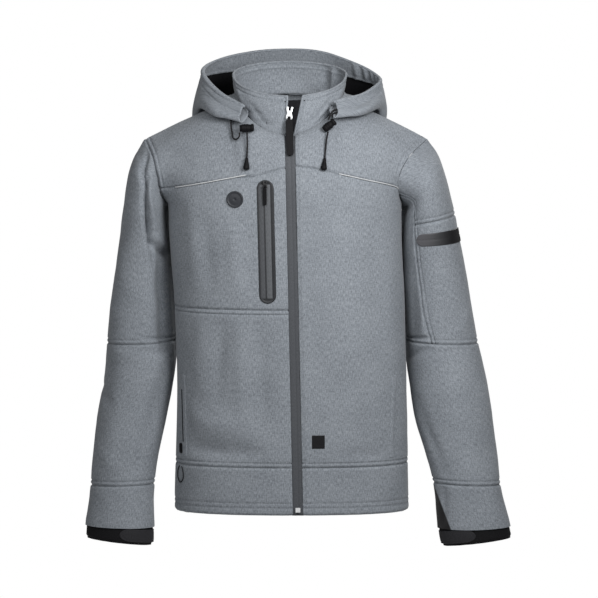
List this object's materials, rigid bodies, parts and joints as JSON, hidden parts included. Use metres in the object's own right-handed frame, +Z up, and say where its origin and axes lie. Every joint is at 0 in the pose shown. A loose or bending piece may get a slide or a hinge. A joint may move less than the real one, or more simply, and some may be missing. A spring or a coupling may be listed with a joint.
{
  "type": "hooded work jacket",
  "caption": "Grey melange hooded softshell work jacket, zipped up and filled out as if worn, with the hood laid back, black cuffs, welded pocket zips and drawstring locks.",
  "frame": {"origin": "between the shoulders, at the height where the wearer's shoulders carry the jacket", "axes": "+Z up, the front faces -Y, +X is towards the wearer's left"},
  "size_m": [0.7467, 0.3194, 0.8627],
  "materials": {
    "cloth": "matt melange weave",
    "lining": "soft black lining",
    "cuff": "matt black band",
    "welded_zip": "rubbery coated tape",
    "zip_tape": "smooth grey tape",
    "rubber": "soft matt black",
    "metal": "satin",
    "piping": "light reflective tape",
    "cord": "black braid"
  },
  "bodies": {
    "jacket": {"front_yoke_right": "cloth", "front_yoke_left": "cloth", "front_chest_right": "cloth", "front_lower_right": "cloth", "front_panel_left": "cloth", "back_panel": "cloth", "hem_band_right": "cloth", "hem_band_left": "cloth", "hem_band_back": "cloth", "collar": "cloth", "hood_outer": "cloth", "hood_facing": "cloth", "hood_lining": "lining", "sleeve_upper_right": "cloth", "sleeve_forearm_right": "cloth", "sleeve_lower_right": "cloth", "cuff_band_right": "cuff", "cuff_tab_right": "cuff", "sleeve_cap_left": "cloth", "sleeve_pocket_panel_left": "cloth", "sleeve_under_panel_left": "cloth", "sleeve_forearm_left": "cloth", "sleeve_lower_left": "cloth", "cuff_band_left": "cuff", "cuff_tab_left": "cuff", "sleeve_pocket_zip_left": "welded_zip", "zip_tape": "zip_tape", "zip_flap": "lining", "zip_slider": "metal", "zip_end_stop": "metal", "chest_pocket_zip": "welded_zip", "chest_pocket_slider": "metal", "control_button": "rubber", "label_patch": "rubber", "hand_pocket_welt_right": "rubber", "hand_pocket_welt_left": "rubber", "piping_right": "piping", "piping_left": "piping", "hood_cord_upper_right": "cord", "hood_cord_lower_right": "cord", "hood_lock_right": "rubber", "hood_cord_end_right": "rubber", "hood_cord_front_left": "cord", "hood_cord_side_left": "cord", "hood_cord_lower_left": "cord", "hood_lock_left": "rubber", "hood_cord_end_left": "rubber", "hem_cord_right": "cord", "hem_toggle_right": "rubber"},
    "main_pull_tab": {"zip_pull_tab": "rubber"},
    "chest_pull_tab": {"chest_pocket_pull_tab": "rubber"}
  },
  "joints": [
    {"name": "main_tab_swing", "type": "hinge", "parent": "jacket", "child": "main_pull_tab", "pos_m": [-0.00432, -0.09402, 0.00673], "axis": [-0.9995, -0.0069, -0.03], "range_deg": [0, 150]},
    {"name": "chest_tab_swing", "type": "hinge", "parent": "jacket", "child": "chest_pull_tab", "pos_m": [-0.0464, -0.1315, -0.11074], "axis": [-0.9984, 0.0567, -0.003], "range_deg": [0, 150]}
  ]
}
